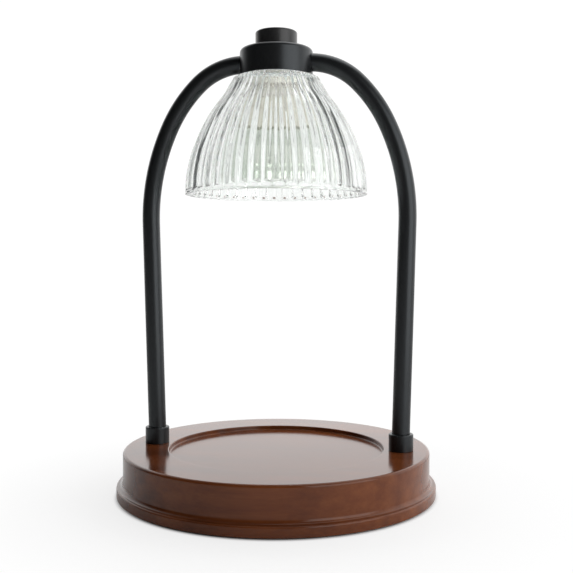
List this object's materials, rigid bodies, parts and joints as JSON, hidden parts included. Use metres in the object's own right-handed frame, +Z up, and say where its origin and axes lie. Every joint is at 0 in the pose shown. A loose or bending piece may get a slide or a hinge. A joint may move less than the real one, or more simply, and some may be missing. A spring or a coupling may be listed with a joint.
{
  "type": "candle warmer lamp",
  "caption": "Candle warmer lamp: tubular arch on a turned wooden base with a jar recess, ribbed glass shade, reflector bulb and dimmer knob.",
  "frame": {"origin": "on the table, under the middle of the base", "axes": "+Z up, +X from the lamp's axis to the right leg, -Y to the front, +Y to the cord inlet"},
  "size_m": [0.2, 0.2, 0.2889],
  "materials": {
    "lacquered_wood": "dark walnut stain under gloss lacquer",
    "cover_board": "dark fibreboard, matt",
    "zinc_steel": "zinc plated",
    "pad_rubber": "soft matt",
    "black_rubber": "matt",
    "block_plastic": "off-white, matt",
    "brass": "bright",
    "black_paint": "satin black powder coat",
    "nickel_plate": "nickel plated, satin",
    "clear_silicone": "milky translucent silicone",
    "ribbed_glass": "clear pressed glass, polished",
    "white_ceramic": "unglazed steatite",
    "lead_sheath": "heat-proof sheath",
    "bulb_ceramic": "unglazed, cream",
    "bulb_mirror": "aluminised faceted glass",
    "bulb_glass": "clear",
    "capsule_glass": "clear quartz",
    "dimmer_plastic": "black moulding",
    "knob_gloss": "gloss black"
  },
  "bodies": {
    "stand": {"base_body": "lacquered_wood", "bottom_cover": "cover_board", "cover_screws": "zinc_steel", "foot_pads": "pad_rubber", "cord_grommet": "black_rubber", "terminal_block": "block_plastic", "terminal_screws": "brass", "block_screws": "zinc_steel", "ferrule_left": "black_paint", "ferrule_right": "black_paint", "leg_nipples": "zinc_steel", "leg_washers": "zinc_steel", "leg_nuts": "zinc_steel", "arch_tube_left": "black_paint", "arch_tube_right": "black_paint", "arm_spigots": "zinc_steel", "collar_housing": "black_paint", "shade_carrier": "nickel_plate", "carrier_screws": "zinc_steel", "upper_gasket": "clear_silicone", "glass_shade": "ribbed_glass", "lower_gasket": "clear_silicone", "shade_ring_nut": "nickel_plate", "lampholder_body": "white_ceramic", "lampholder_contacts": "brass", "lampholder_bracket": "zinc_steel", "lampholder_screws": "zinc_steel", "lamp_leads": "lead_sheath", "dimmer_body": "dimmer_plastic", "dimmer_washer": "zinc_steel", "dimmer_nut": "zinc_steel", "supply_lead": "lead_sheath"},
    "knob": {"dimmer_knob": "knob_gloss", "dimmer_shaft": "nickel_plate"},
    "bulb": {"bulb_base": "bulb_ceramic", "bulb_reflector": "bulb_mirror", "bulb_lens": "bulb_glass", "bulb_capsule": "capsule_glass", "bulb_pins": "nickel_plate"}
  },
  "joints": [
    {"name": "dimmer_turn", "type": "hinge", "parent": "stand", "child": "knob", "pos_m": [0, 0, 0.2783], "axis": [0, 0, 1], "range_deg": [-270, 0]},
    {"name": "bulb_twist", "type": "hinge", "parent": "stand", "child": "bulb", "pos_m": [0, 0, 0.246], "axis": [0, 0, 1], "range_deg": [-20, 0]}
  ]
}
